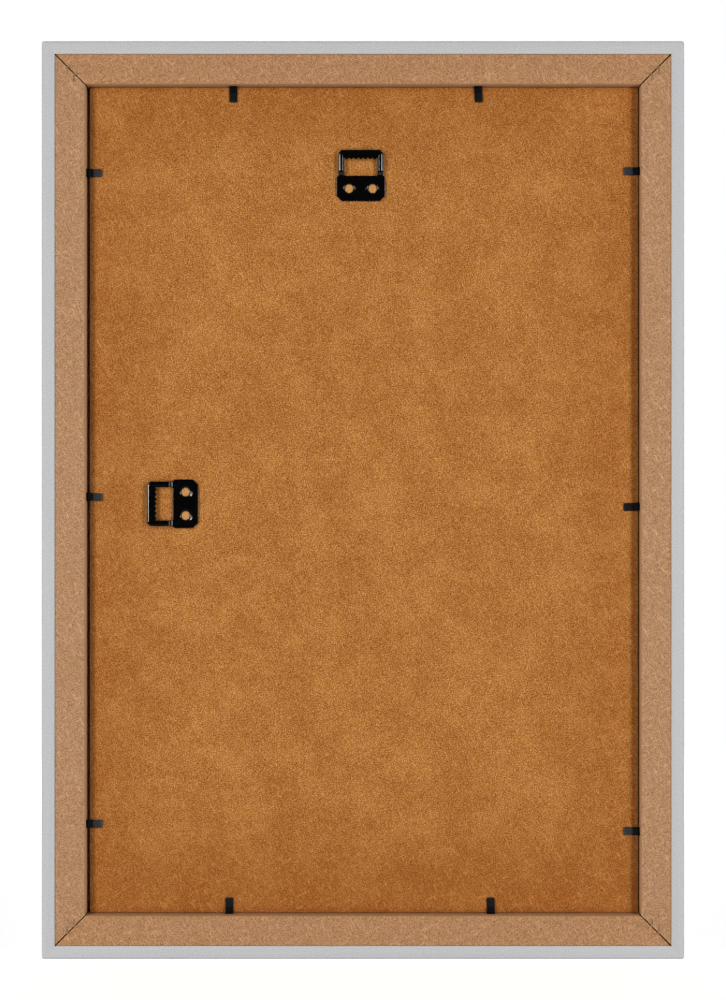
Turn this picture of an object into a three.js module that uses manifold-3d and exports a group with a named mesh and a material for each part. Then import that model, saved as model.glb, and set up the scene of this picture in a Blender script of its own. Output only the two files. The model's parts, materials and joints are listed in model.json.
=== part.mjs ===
// A back-loaded picture frame for a 30 x 45 cm print. Four mitred MDF rails wrapped in grey foil hold a
// glazing sheet, an insert sheet and a hardboard back. Bendable steel tabs in the rebate wall keep the
// back in place, and two sawtooth hangers let the frame hang upright or on its side.
//
// Millimetres. The frame stands upright: +Z is up, the picture faces -Y and the wall is the plane y = 0.
// The origin is the point on the wall where the hook of the upright hanger sits.
// Left and right are those of a person who looks at the picture.

import * as THREE from "three";
import { mergeVertices } from "three/addons/utils/BufferGeometryUtils.js";
import Module from "manifold-3d";

// Picture and rebate
const PICTURE_WIDTH = 300;
const PICTURE_HEIGHT = 450;
const REBATE_ROOM = 1.5; // from the picture's edge to the rebate wall

// Section of the moulding
const RAIL_BACK_WIDTH = 23.5; // from the outer edge to the rebate wall
const FRAME_DEPTH = 18;
const LIP_REACH = 5.5;
const LIP_THICKNESS = 6;
const BACK_EDGE_RADIUS = 1.2;
const FRONT_EDGE_RADIUS = 2.4;
const SIGHT_EDGE_RADIUS = 2;
const REBATE_ARRIS = 0.3; // the sharp back edge of the rebate is sanded off this much
const EDGE_STEPS = 6;

// Foil on the moulding
const FOIL_THICKNESS = 0.4;
const FOIL_BACK_FLAP = 7.1;
const FOIL_LIP_RETURN = 2.5;

// Corner joints
const MITRE_GAP_OUTSIDE = 0.75;
const MITRE_GAP_INSIDE = 0.5;
const FOIL_MITRE_GAP = 0.1;
const NAIL_INSETS = { outer: 13.6, inner: 17.4 }; // from the frame's outer corner to the nail's apex
const NAIL_LEG = 4.4;
const NAIL_THICKNESS = 0.5;
const NAIL_LENGTH = 10;
const NAIL_SINK = 0.3;
const NAIL_CLEARANCE = 0.1;

// Sheets in the rebate
const SHEET_GAP = 0.1;
const GLAZING_THICKNESS = 2;
const GLAZING_ROOM = 2; // from the glazing's edge to the rebate wall
const INSERT_THICKNESS = 0.3;
const BOARD_THICKNESS = 3;
const BOARD_SIDE_ROOM = 1.5;
const BOARD_END_ROOM = 0.5;
const BOARD_SHIFT = -0.6; // the board lies a little to the left in its room

// Bendable tabs
const TAB_WIDTH = 4.4;
const TAB_THICKNESS = 0.5;
const TAB_REACH = 8.8; // from the rebate wall to the tip
const TAB_EMBED = 6;
const TAB_RISE = 1; // from the board to the underside of the tab at the wall
const TAB_TIP_CLEARANCE = 0.15;
const TAB_TIP_LENGTH = 4.6; // the flat end that lies on the board
const TAB_TIP_CHAMFER = 0.6;
const TAB_BEND_OFFSET = 0.4; // from the rebate wall to the bend line
const TAB_BEND_GAP = 0.3;
const TAB_SLOT_CLEARANCE = 0.15;
const SHORT_RAIL_TAB_INSET = 82.2; // from the corner of the rebate
const LONG_RAIL_TAB_INSET = 47.2;

// Sawtooth hangers
const HOOK_FROM_TOP = 39.3; // from the rebate's top wall to the notches of the upright hanger
const HOOK_FROM_SIDE = 37.7; // the same from the right wall, for the hanger that lies on its side
const PORTRAIT_HANGER_SHIFT = 1.2;
const LANDSCAPE_HANGER_SHIFT = -2.1;
const HANGER_SEAT_GAP = 0.1;
const HANGER_THICKNESS = 1;
const HANGER_LIFT = 1.3; // the toothed loop stands this much higher than the base
const HANGER_BASE_WIDTH = 26.7;
const HANGER_BASE_HEIGHT = 13.9;
const HANGER_BASE_CHAMFER = 2.9;
const HANGER_SHOULDER_CHAMFER = 1.1;
const HANGER_LOOP_WIDTH = 24.5;
const HANGER_LOOP_CHAMFER = 1.8;
const HANGER_ARM_WIDTH = 3.2;
const HANGER_BAR_HEIGHT = 4.3;
const HANGER_WINDOW_HEIGHT = 9.7;
const HANGER_WINDOW_RADIUS = 0.8;
const HANGER_STEP_LENGTH = 1.5;
const HANGER_STEP_MARGIN = 0.3; // from the base to where the arms start to rise
const TOOTH_COUNT = 7;
const TOOTH_DEPTH = 1;
const RIB_INSET = 1.5; // from the loop's edge to the middle of the rib
const RIB_CREST = 0.7; // the flat top of the rib
const RIB_FLANK = 0.8;
const RIB_HEIGHT = 0.3;
const RIB_ROOT = 0.2; // the part of the rib below the face of the loop
const COLLAR_SPACING = 12.9;
const COLLAR_BORE_RADIUS = 2.5;
const COLLAR_LIP_RADIUS = 0.7;
const COLLAR_DISH_WIDTH = 0.8; // the plate dips towards the lip over this width
const COLLAR_DISH_DEPTH = 0.28;
const COLLAR_WALL = 0.5;
const COLLAR_DEPTH = 1.8; // how far the collar bites into the board
const COLLAR_CLEARANCE = 0.15;
const COLLAR_SIDES = 32;

// How far a cutting tool runs past the face that it opens
const CUT_OVERRUN = 1;

// Sizes that follow from those above
const REBATE_WIDTH = PICTURE_WIDTH + 2 * REBATE_ROOM;
const REBATE_HEIGHT = PICTURE_HEIGHT + 2 * REBATE_ROOM;
const FRAME_WIDTH = REBATE_WIDTH + 2 * RAIL_BACK_WIDTH;
const FRAME_HEIGHT = REBATE_HEIGHT + 2 * RAIL_BACK_WIDTH;
const HALF_WIDTH = FRAME_WIDTH / 2;
const HALF_HEIGHT = FRAME_HEIGHT / 2;
const RAIL_WIDTH = RAIL_BACK_WIDTH + LIP_REACH;
const REBATE_FLOOR = LIP_THICKNESS - FRAME_DEPTH;
const GLAZING_BACK = REBATE_FLOOR + SHEET_GAP + GLAZING_THICKNESS;
const INSERT_BACK = GLAZING_BACK + SHEET_GAP + INSERT_THICKNESS;
const BOARD_BACK = INSERT_BACK + SHEET_GAP + BOARD_THICKNESS;
const LAND_BACK = -FOIL_THICKNESS; // the bare MDF behind the rebate
const HOOK_HEIGHT = REBATE_HEIGHT / 2 - HOOK_FROM_TOP;
const HOOK_SIDE = REBATE_WIDTH / 2 - HOOK_FROM_SIDE;

const QUARTER = Math.PI / 2;

const SIDES = {
  top: { turn: 0, reach: HALF_HEIGHT, length: FRAME_WIDTH, tabInset: SHORT_RAIL_TAB_INSET },
  right: { turn: QUARTER, reach: HALF_WIDTH, length: FRAME_HEIGHT, tabInset: LONG_RAIL_TAB_INSET },
  bottom: { turn: 2 * QUARTER, reach: HALF_HEIGHT, length: FRAME_WIDTH, tabInset: SHORT_RAIL_TAB_INSET },
  left: { turn: 3 * QUARTER, reach: HALF_WIDTH, length: FRAME_HEIGHT, tabInset: LONG_RAIL_TAB_INSET },
};

// The tabs were driven by hand: each strays a little along its rail and is skewed by a few degrees.
// "end" says which corner of the rebate a tab is measured from, with 0 for the middle of the rail.
const TABS = [
  { name: "tab_top_right", side: "top", end: 1, stray: 1.7, skew: 0 },
  { name: "tab_top_left", side: "top", end: -1, stray: 6.3, skew: 3.4 },
  { name: "tab_right_upper", side: "right", end: -1, stray: 0.3, skew: 0 },
  { name: "tab_right_middle", side: "right", end: 0, stray: -1.9, skew: -3 },
  { name: "tab_right_lower", side: "right", end: 1, stray: -2, skew: 0 },
  { name: "tab_bottom_right", side: "bottom", end: -1, stray: -3.9, skew: 0 },
  { name: "tab_bottom_left", side: "bottom", end: 1, stray: 0.8, skew: 1.5 },
  { name: "tab_left_lower", side: "left", end: -1, stray: -2, skew: 0 },
  { name: "tab_left_middle", side: "left", end: 0, stray: -3.6, skew: 2 },
  { name: "tab_left_upper", side: "left", end: 1, stray: 0.7, skew: 0 },
];

const CORNERS = [
  { name: "top_right", turn: 0, x: HALF_WIDTH, z: HALF_HEIGHT, sides: ["top", "right"] },
  { name: "bottom_right", turn: QUARTER, x: HALF_WIDTH, z: -HALF_HEIGHT, sides: ["right", "bottom"] },
  { name: "bottom_left", turn: 2 * QUARTER, x: -HALF_WIDTH, z: -HALF_HEIGHT, sides: ["bottom", "left"] },
  { name: "top_left", turn: 3 * QUARTER, x: -HALF_WIDTH, z: HALF_HEIGHT, sides: ["left", "top"] },
];

const HANGERS = [
  { name: "hanger_portrait", turn: 0, x: PORTRAIT_HANGER_SHIFT, z: HOOK_HEIGHT },
  { name: "hanger_landscape", turn: QUARTER, x: HOOK_SIDE, z: LANDSCAPE_HANGER_SHIFT },
];

// Materials
function finish(color, roughness, metalness) {
  return new THREE.MeshStandardMaterial({ color, roughness, metalness });
}
const rawMdf = () => finish(0xb48a64, 0.85, 0);
const greyFoil = () => finish(0xc5c5c6, 0.45, 0);
const hardboard = () => finish(0xb1743b, 0.6, 0);
const blackSteel = () => finish(0x0a0a0b, 0.3, 0.2);
const bareSteel = () => finish(0x8c8a86, 0.4, 1);
const plainPaper = () => finish(0xf0eee8, 0.9, 0);
const clearGlass = () => {
  const glass = finish(0xe8f0ee, 0.05, 0);
  glass.transparent = true;
  glass.opacity = 0.35;
  return glass;
};

// Solids: a closed three.js geometry becomes a body that can be cut and joined, and comes back again
const wasm = await Module();
wasm.setup();

function toSolid(geometry) {
  const bare = geometry.clone();
  bare.deleteAttribute("normal");
  bare.deleteAttribute("uv");
  const merged = mergeVertices(bare);
  const corners = merged.index.array;
  const triangles = [];
  for (let i = 0; i < corners.length; i += 3) {
    const [a, b, c] = corners.slice(i, i + 3);
    const collapsed = a === b || b === c || c === a;
    if (!collapsed) triangles.push(a, b, c);
  }
  const vertProperties = merged.attributes.position.array;
  const triVerts = new Uint32Array(triangles);
  return new wasm.Manifold(new wasm.Mesh({ numProp: 3, vertProperties, triVerts }));
}

function toGeometry(solid) {
  const { vertProperties, triVerts } = solid.getMesh();
  const geometry = new THREE.BufferGeometry();
  geometry.setAttribute("position", new THREE.BufferAttribute(new Float32Array(vertProperties), 3));
  geometry.setIndex(new THREE.BufferAttribute(new Uint32Array(triVerts), 1));
  geometry.computeVertexNormals();
  return geometry;
}

function namedMesh(name, geometry, material) {
  const mesh = new THREE.Mesh(geometry, material);
  mesh.name = name;
  return mesh;
}

function polygon(points) {
  return new THREE.Shape(points.map(([x, y]) => new THREE.Vector2(x, y)));
}

// A bar with the given section. The section's x is the distance inward from the frame's outer edge and
// its y is the place between front and back. The bar runs along X, and halfLengthAt gives half of its
// length at each distance inward, so that a mitre falls out of the length.
function bar(section, halfLengthAt) {
  const settings = { depth: 1, bevelEnabled: false, curveSegments: EDGE_STEPS };
  const geometry = new THREE.ExtrudeGeometry(section, settings);
  const position = geometry.attributes.position;
  for (let i = 0; i < position.count; i += 1) {
    const inward = position.getX(i);
    const end = position.getZ(i) > 0 ? 1 : -1;
    position.setXYZ(i, end * halfLengthAt(inward), position.getY(i), -inward);
  }
  return geometry;
}

// A plate whose outline is drawn in X and Z, from the plane y = back down by its thickness
function plate(outline, back, thickness, bevel = { bevelEnabled: false }) {
  const settings = { depth: thickness, curveSegments: EDGE_STEPS, ...bevel };
  const geometry = new THREE.ExtrudeGeometry(outline, settings);
  geometry.rotateX(QUARTER);
  geometry.translate(0, back, 0);
  return geometry;
}

// A turned body on the Y axis, from a profile of radius and height
function turned(profile) {
  const points = profile.map(([radius, height]) => new THREE.Vector2(radius, height));
  return new THREE.LatheGeometry(points, COLLAR_SIDES);
}

function placement(x, y, z, turn) {
  return new THREE.Matrix4().makeRotationY(turn).setPosition(x, y, z);
}

// Rails and foil
function railSection() {
  const section = new THREE.Shape();
  const skin = FOIL_THICKNESS;
  const sightCentre = RAIL_WIDTH - SIGHT_EDGE_RADIUS;
  section.moveTo(RAIL_BACK_WIDTH - REBATE_ARRIS, LAND_BACK);
  section.lineTo(BACK_EDGE_RADIUS, LAND_BACK);
  section.absarc(BACK_EDGE_RADIUS, -BACK_EDGE_RADIUS, BACK_EDGE_RADIUS - skin, QUARTER, 2 * QUARTER);
  const frontCentre = FRONT_EDGE_RADIUS - FRAME_DEPTH;
  section.absarc(FRONT_EDGE_RADIUS, frontCentre, FRONT_EDGE_RADIUS - skin, 2 * QUARTER, 3 * QUARTER);
  const sightHeight = SIGHT_EDGE_RADIUS - FRAME_DEPTH;
  section.absarc(sightCentre, sightHeight, SIGHT_EDGE_RADIUS - skin, 3 * QUARTER, 4 * QUARTER);
  section.lineTo(RAIL_WIDTH - skin, REBATE_FLOOR - skin);
  section.lineTo(RAIL_WIDTH - FOIL_LIP_RETURN, REBATE_FLOOR - skin);
  section.lineTo(RAIL_WIDTH - FOIL_LIP_RETURN, REBATE_FLOOR);
  section.lineTo(RAIL_BACK_WIDTH, REBATE_FLOOR);
  section.lineTo(RAIL_BACK_WIDTH, LAND_BACK - REBATE_ARRIS);
  return section;
}

function foilSection() {
  const section = new THREE.Shape();
  const skin = FOIL_THICKNESS;
  const sightCentre = RAIL_WIDTH - SIGHT_EDGE_RADIUS;
  const frontCentre = FRONT_EDGE_RADIUS - FRAME_DEPTH;
  const sightHeight = SIGHT_EDGE_RADIUS - FRAME_DEPTH;
  section.moveTo(FOIL_BACK_FLAP, 0);
  section.absarc(BACK_EDGE_RADIUS, -BACK_EDGE_RADIUS, BACK_EDGE_RADIUS, QUARTER, 2 * QUARTER);
  section.absarc(FRONT_EDGE_RADIUS, frontCentre, FRONT_EDGE_RADIUS, 2 * QUARTER, 3 * QUARTER);
  section.absarc(sightCentre, sightHeight, SIGHT_EDGE_RADIUS, 3 * QUARTER, 4 * QUARTER);
  section.lineTo(RAIL_WIDTH, REBATE_FLOOR);
  section.lineTo(RAIL_WIDTH - FOIL_LIP_RETURN, REBATE_FLOOR);
  section.lineTo(RAIL_WIDTH - FOIL_LIP_RETURN, REBATE_FLOOR - skin);
  section.lineTo(RAIL_WIDTH - skin, REBATE_FLOOR - skin);
  section.absarc(sightCentre, sightHeight, SIGHT_EDGE_RADIUS - skin, 4 * QUARTER, 3 * QUARTER, true);
  section.absarc(FRONT_EDGE_RADIUS, frontCentre, FRONT_EDGE_RADIUS - skin, 3 * QUARTER, 2 * QUARTER, true);
  section.absarc(BACK_EDGE_RADIUS, -BACK_EDGE_RADIUS, BACK_EDGE_RADIUS - skin, 2 * QUARTER, QUARTER, true);
  section.lineTo(FOIL_BACK_FLAP, LAND_BACK);
  return section;
}

// A gap across a mitre shortens each of its two rails along their length
function mitreSetback(inward) {
  const gap = MITRE_GAP_OUTSIDE + ((MITRE_GAP_INSIDE - MITRE_GAP_OUTSIDE) * inward) / RAIL_WIDTH;
  return gap / Math.SQRT2;
}

function railGeometry(sideName) {
  const side = SIDES[sideName];
  const blank = bar(railSection(), (inward) => side.length / 2 - inward - mitreSetback(inward));
  const toEdge = placement(0, 0, -side.reach, 0);
  const toRail = placement(0, 0, 0, -side.turn).premultiply(toEdge);
  let solid = toSolid(blank);
  for (const tab of TABS.filter((entry) => entry.side === sideName)) {
    const slot = tabSlot().applyMatrix4(tabPlacement(tab)).applyMatrix4(toEdge);
    solid = solid.subtract(toSolid(slot));
  }
  for (const corner of CORNERS.filter((entry) => entry.sides.includes(sideName))) {
    for (const inset of Object.values(NAIL_INSETS)) {
      const pocket = nailPocket(inset).applyMatrix4(placement(corner.x, 0, corner.z, corner.turn));
      solid = solid.subtract(toSolid(pocket.applyMatrix4(toRail)));
    }
  }
  return toGeometry(solid);
}

function foilGeometry(side) {
  return bar(foilSection(), (inward) => side.length / 2 - inward - FOIL_MITRE_GAP / Math.SQRT2);
}

// Corner nails: an angle of thin steel across the mitre, drawn for the upper right corner at the origin
function nailOutline(inset, clearance) {
  const near = clearance - inset;
  const inner = -inset - NAIL_THICKNESS - clearance;
  const far = -inset - NAIL_LEG - clearance;
  return polygon([[near, near], [far, near], [far, inner], [inner, inner], [inner, far], [near, far]]);
}

function cornerNail(inset) {
  return plate(nailOutline(inset, 0), LAND_BACK - NAIL_SINK, NAIL_LENGTH);
}

function nailPocket(inset) {
  const depth = CUT_OVERRUN + NAIL_SINK + NAIL_LENGTH + NAIL_CLEARANCE;
  return plate(nailOutline(inset, NAIL_CLEARANCE), LAND_BACK + CUT_OVERRUN, depth);
}

// Tabs, drawn at the foot of the rebate wall: the wall is at z = 0 and the board's back is at y = 0
function tabPlacement(tab) {
  const side = SIDES[tab.side];
  const along = tab.end * (side.length / 2 - RAIL_BACK_WIDTH - side.tabInset) + tab.stray;
  return placement(along, BOARD_BACK, side.reach - RAIL_BACK_WIDTH, THREE.MathUtils.degToRad(tab.skew));
}

function tabShank() {
  const end = TAB_BEND_OFFSET - TAB_BEND_GAP / 2;
  const top = TAB_RISE + TAB_THICKNESS;
  const section = polygon([[-TAB_EMBED, TAB_RISE], [end, TAB_RISE], [end, top], [-TAB_EMBED, top]]);
  return bar(section, () => TAB_WIDTH / 2);
}

function tabBlade() {
  const start = TAB_BEND_OFFSET + TAB_BEND_GAP / 2;
  const knee = TAB_REACH - TAB_TIP_LENGTH;
  const low = TAB_TIP_CLEARANCE;
  const section = polygon([
    [start, TAB_RISE],
    [knee, low],
    [TAB_REACH, low],
    [TAB_REACH, low + TAB_THICKNESS],
    [knee, low + TAB_THICKNESS],
    [start, TAB_RISE + TAB_THICKNESS],
  ]);
  return bar(section, (inward) => TAB_WIDTH / 2 - Math.max(0, inward - TAB_REACH + TAB_TIP_CHAMFER));
}

function tabSlot() {
  const room = TAB_SLOT_CLEARANCE;
  const back = -TAB_EMBED - room;
  const top = TAB_RISE + TAB_THICKNESS + room;
  const section = polygon([
    [back, TAB_RISE - room],
    [CUT_OVERRUN, TAB_RISE - room],
    [CUT_OVERRUN, top],
    [back, top],
  ]);
  return bar(section, () => TAB_WIDTH / 2 + room);
}

// Sheets
function sheet(width, height, thickness, back, shift) {
  const geometry = new THREE.BoxGeometry(width, thickness, height);
  geometry.translate(shift, back - thickness / 2, 0);
  return geometry;
}

function boardGeometry() {
  const width = REBATE_WIDTH - 2 * BOARD_SIDE_ROOM;
  const height = REBATE_HEIGHT - 2 * BOARD_END_ROOM;
  let solid = toSolid(sheet(width, height, BOARD_THICKNESS, BOARD_BACK, BOARD_SHIFT));
  for (const hanger of HANGERS) {
    const seat = placement(hanger.x, BOARD_BACK, hanger.z, hanger.turn);
    for (const hand of [-1, 1]) {
      solid = solid.subtract(toSolid(collarGroove(hand).applyMatrix4(seat)));
    }
  }
  return toGeometry(solid);
}

// Hangers, drawn upright: the notches lie on z = 0 and the board's back is at y = 0
const HANGER_BACK = HANGER_SEAT_GAP + HANGER_THICKNESS;
const BASE_TOP = -HANGER_WINDOW_HEIGHT;
const BASE_BOTTOM = BASE_TOP - HANGER_BASE_HEIGHT;
const LOOP_FOOT = BASE_TOP - HANGER_ARM_WIDTH; // the loop runs into the base this far down
const STEP_START = BASE_TOP + HANGER_STEP_MARGIN;
const STEP_END = STEP_START + HANGER_STEP_LENGTH;
const WINDOW_HALF = HANGER_LOOP_WIDTH / 2 - HANGER_ARM_WIDTH;

function basePlate() {
  const half = HANGER_BASE_WIDTH / 2;
  const outline = polygon([
    [-half + HANGER_BASE_CHAMFER, BASE_BOTTOM],
    [half - HANGER_BASE_CHAMFER, BASE_BOTTOM],
    [half, BASE_BOTTOM + HANGER_BASE_CHAMFER],
    [half, BASE_TOP - HANGER_SHOULDER_CHAMFER],
    [half - HANGER_SHOULDER_CHAMFER, BASE_TOP],
    [-half + HANGER_SHOULDER_CHAMFER, BASE_TOP],
    [-half, BASE_TOP - HANGER_SHOULDER_CHAMFER],
    [-half, BASE_BOTTOM + HANGER_BASE_CHAMFER],
  ]);
  return plate(outline, HANGER_BACK, HANGER_THICKNESS);
}

function toothedWindow() {
  const radius = HANGER_WINDOW_RADIUS;
  const pitch = (2 * WINDOW_HALF) / TOOTH_COUNT;
  const window = new THREE.Path();
  window.moveTo(-WINDOW_HALF, 0);
  for (let tooth = 0; tooth < TOOTH_COUNT; tooth += 1) {
    const notch = -WINDOW_HALF + tooth * pitch;
    window.lineTo(notch + pitch / 2, -TOOTH_DEPTH);
    window.lineTo(notch + pitch, 0);
  }
  window.absarc(WINDOW_HALF - radius, BASE_TOP + radius, radius, 0, -QUARTER, true);
  window.absarc(-WINDOW_HALF + radius, BASE_TOP + radius, radius, -QUARTER, -2 * QUARTER, true);
  window.closePath();
  return window;
}

// The loop's outline, drawn in by an inset that keeps the slanted corners parallel
function loopCorners(inset) {
  const half = HANGER_LOOP_WIDTH / 2 - inset;
  const top = HANGER_BAR_HEIGHT - inset;
  const chamfer = HANGER_LOOP_CHAMFER - inset * (2 - Math.SQRT2);
  return [[-half, top - chamfer], [-half + chamfer, top], [half - chamfer, top], [half, top - chamfer]];
}

function toothedLoop() {
  const half = HANGER_LOOP_WIDTH / 2;
  const outline = polygon([[half, LOOP_FOOT], ...loopCorners(0).reverse(), [-half, LOOP_FOOT]]);
  outline.holes.push(toothedWindow());
  const stack = HANGER_BACK + HANGER_LIFT;
  const silhouette = plate(outline, stack + CUT_OVERRUN, stack + 2 * CUT_OVERRUN);
  const low = HANGER_SEAT_GAP;
  const section = polygon([
    [-LOOP_FOOT, low],
    [-LOOP_FOOT, HANGER_BACK],
    [-STEP_START, HANGER_BACK],
    [-STEP_END, stack],
    [-HANGER_BAR_HEIGHT, stack],
    [-HANGER_BAR_HEIGHT, low + HANGER_LIFT],
    [-STEP_END, low + HANGER_LIFT],
    [-STEP_START, low],
  ]);
  return toSolid(bar(section, () => half)).intersect(toSolid(silhouette));
}

function stiffeningRib() {
  const outer = loopCorners(RIB_INSET - RIB_CREST / 2);
  const inner = loopCorners(RIB_INSET + RIB_CREST / 2).reverse();
  const foot = STEP_END + RIB_FLANK;
  const outline = polygon([
    [outer[0][0], foot],
    ...outer,
    [outer[3][0], foot],
    [inner[0][0], foot],
    ...inner,
    [inner[3][0], foot],
  ]);
  const bevel = {
    bevelEnabled: true,
    bevelThickness: RIB_HEIGHT,
    bevelSize: RIB_FLANK,
    bevelSegments: 1,
  };
  return plate(outline, HANGER_BACK + HANGER_LIFT, RIB_ROOT, bevel);
}

function collarGroove(hand) {
  const inside = COLLAR_BORE_RADIUS - COLLAR_CLEARANCE;
  const outside = COLLAR_BORE_RADIUS + COLLAR_WALL + COLLAR_CLEARANCE;
  const floor = -COLLAR_DEPTH - COLLAR_CLEARANCE;
  const ring = turned([
    [inside, floor],
    [outside, floor],
    [outside, CUT_OVERRUN],
    [inside, CUT_OVERRUN],
    [inside, floor],
  ]);
  return collarPlaced(ring, hand);
}

function collarBlank() {
  const radius = COLLAR_BORE_RADIUS + COLLAR_WALL;
  const top = HANGER_SEAT_GAP + HANGER_THICKNESS / 2;
  return turned([[0, -COLLAR_DEPTH], [radius, -COLLAR_DEPTH], [radius, top], [0, top]]);
}

// The bore of a collar, with the dish and the rounded lip where the plate is drawn down into it
function collarBore() {
  const lipCentre = COLLAR_BORE_RADIUS + COLLAR_LIP_RADIUS;
  const lipTop = HANGER_BACK - COLLAR_DISH_DEPTH;
  const dishEdge = lipCentre + COLLAR_DISH_WIDTH;
  const profile = [[0, -COLLAR_DEPTH - CUT_OVERRUN], [COLLAR_BORE_RADIUS, -COLLAR_DEPTH - CUT_OVERRUN]];
  for (let step = 0; step <= EDGE_STEPS; step += 1) {
    const angle = (QUARTER * step) / EDGE_STEPS;
    const radius = lipCentre - COLLAR_LIP_RADIUS * Math.cos(angle);
    profile.push([radius, lipTop - COLLAR_LIP_RADIUS * (1 - Math.sin(angle))]);
  }
  profile.push([dishEdge, HANGER_BACK], [dishEdge, HANGER_BACK + CUT_OVERRUN]);
  profile.push([0, HANGER_BACK + CUT_OVERRUN]);
  return turned(profile);
}

function collarPlaced(geometry, hand) {
  return geometry.translate((hand * COLLAR_SPACING) / 2, 0, BASE_TOP - HANGER_BASE_HEIGHT / 2);
}

function hangerGeometry() {
  let solid = toSolid(basePlate()).add(toothedLoop()).add(toSolid(stiffeningRib()));
  for (const hand of [-1, 1]) {
    solid = solid.add(toSolid(collarPlaced(collarBlank(), hand)));
    solid = solid.subtract(toSolid(collarPlaced(collarBore(), hand)));
  }
  return toGeometry(solid);
}

// Assembly, measured from the middle of the frame
const frame = new THREE.Group();
frame.position.z = -HOOK_HEIGHT;

for (const [sideName, side] of Object.entries(SIDES)) {
  const group = new THREE.Group();
  group.rotation.y = side.turn;
  const rail = namedMesh(`rail_${sideName}`, railGeometry(sideName), rawMdf());
  const foil = namedMesh(`foil_${sideName}`, foilGeometry(side), greyFoil());
  rail.position.z = side.reach;
  foil.position.z = side.reach;
  group.add(rail, foil);
  for (const tab of TABS.filter((entry) => entry.side === sideName)) {
    const seat = new THREE.Group();
    seat.applyMatrix4(tabPlacement(tab));
    seat.add(namedMesh(`${tab.name}_shank`, tabShank(), blackSteel()));
    seat.add(namedMesh(`${tab.name}_blade`, tabBlade(), blackSteel()));
    group.add(seat);
  }
  frame.add(group);
}

for (const corner of CORNERS) {
  const group = new THREE.Group();
  group.applyMatrix4(placement(corner.x, 0, corner.z, corner.turn));
  for (const [place, inset] of Object.entries(NAIL_INSETS)) {
    group.add(namedMesh(`corner_nail_${corner.name}_${place}`, cornerNail(inset), bareSteel()));
  }
  frame.add(group);
}

const glazingWidth = REBATE_WIDTH - 2 * GLAZING_ROOM;
const glazingHeight = REBATE_HEIGHT - 2 * GLAZING_ROOM;
const glazing = sheet(glazingWidth, glazingHeight, GLAZING_THICKNESS, GLAZING_BACK, 0);
const insert = sheet(PICTURE_WIDTH, PICTURE_HEIGHT, INSERT_THICKNESS, INSERT_BACK, 0);
frame.add(namedMesh("glazing_sheet", glazing, clearGlass()));
frame.add(namedMesh("insert_sheet", insert, plainPaper()));
frame.add(namedMesh("backing_board", boardGeometry(), hardboard()));

for (const hanger of HANGERS) {
  const mesh = namedMesh(hanger.name, hangerGeometry(), blackSteel());
  mesh.applyMatrix4(placement(hanger.x, BOARD_BACK, hanger.z, hanger.turn));
  frame.add(mesh);
}

const pictureFrame = new THREE.Group();
pictureFrame.add(frame);

export default pictureFrame;
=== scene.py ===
"""The back of a grey MDF picture frame: looks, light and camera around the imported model.

Metres, in the frame of the model: +Z is up, the picture faces -Y and the wall is the plane y = 0.
The camera stands behind the frame, so the model's right side is on the left of the image.
"""

import json
import math

import bmesh
import bpy
from mathutils import Matrix, Vector


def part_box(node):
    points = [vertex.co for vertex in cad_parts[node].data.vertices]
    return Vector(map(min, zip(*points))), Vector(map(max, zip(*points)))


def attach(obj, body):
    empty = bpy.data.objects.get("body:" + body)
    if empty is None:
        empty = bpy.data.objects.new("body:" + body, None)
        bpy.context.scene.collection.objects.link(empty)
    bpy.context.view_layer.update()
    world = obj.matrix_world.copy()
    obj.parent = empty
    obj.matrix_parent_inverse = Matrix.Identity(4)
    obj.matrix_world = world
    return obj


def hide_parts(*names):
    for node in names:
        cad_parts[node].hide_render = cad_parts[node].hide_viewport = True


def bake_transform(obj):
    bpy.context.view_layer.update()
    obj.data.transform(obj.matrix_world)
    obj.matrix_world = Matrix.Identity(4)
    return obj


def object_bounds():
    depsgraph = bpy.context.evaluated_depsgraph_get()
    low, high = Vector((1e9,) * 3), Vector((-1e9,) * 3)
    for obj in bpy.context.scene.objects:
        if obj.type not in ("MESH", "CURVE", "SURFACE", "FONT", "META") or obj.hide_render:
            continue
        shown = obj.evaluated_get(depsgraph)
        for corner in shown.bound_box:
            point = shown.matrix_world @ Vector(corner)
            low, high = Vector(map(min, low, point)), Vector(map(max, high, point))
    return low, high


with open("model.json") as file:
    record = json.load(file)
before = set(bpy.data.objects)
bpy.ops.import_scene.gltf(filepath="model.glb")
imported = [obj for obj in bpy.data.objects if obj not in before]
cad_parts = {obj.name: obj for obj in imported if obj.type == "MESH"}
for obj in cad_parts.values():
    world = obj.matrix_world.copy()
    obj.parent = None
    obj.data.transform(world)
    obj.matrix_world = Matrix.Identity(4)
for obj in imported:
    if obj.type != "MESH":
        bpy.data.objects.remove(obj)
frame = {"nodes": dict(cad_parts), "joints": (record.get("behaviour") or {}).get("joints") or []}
cad_low, cad_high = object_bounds()

# Shared values, with places in metres
MM = 0.001
BACKWARD = Vector((0, 1, 0))
QUARTER = math.pi / 2
SHARP_ANGLE = math.radians(35)
EDGE_STEPS = 3
CENTRE = (cad_low + cad_high) / 2
HALF_SIZE = (cad_high - cad_low) / 2
BOARD_LOW, BOARD_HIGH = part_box("backing_board")
BOARD_HALF = (BOARD_HIGH - BOARD_LOW) / 2

# Finishes: darkened bands in millimetres, and most of a noise texture lies in the noise range
BOARD_EDGE_TONE_AND_SHADE_REACH = 60
BOARD_FOOT_DARKENING = 90
FOIL_EDGE_DARK_START = 0.15
FOIL_EDGE_DARK_END = 0.55
FOIL_EDGE_DARK_SHARE = 0.75
NOISE_RANGE = (0.3, 0.7)
FIBRE_ANGLES = (0.5, -0.9, 1.9)
FIBRE_SCALE = 1.3
FIBRE_STRETCH = 7
FIBRE_EDGE = (0.64, 0.74)
SPECK_CORE = 0.4

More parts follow.
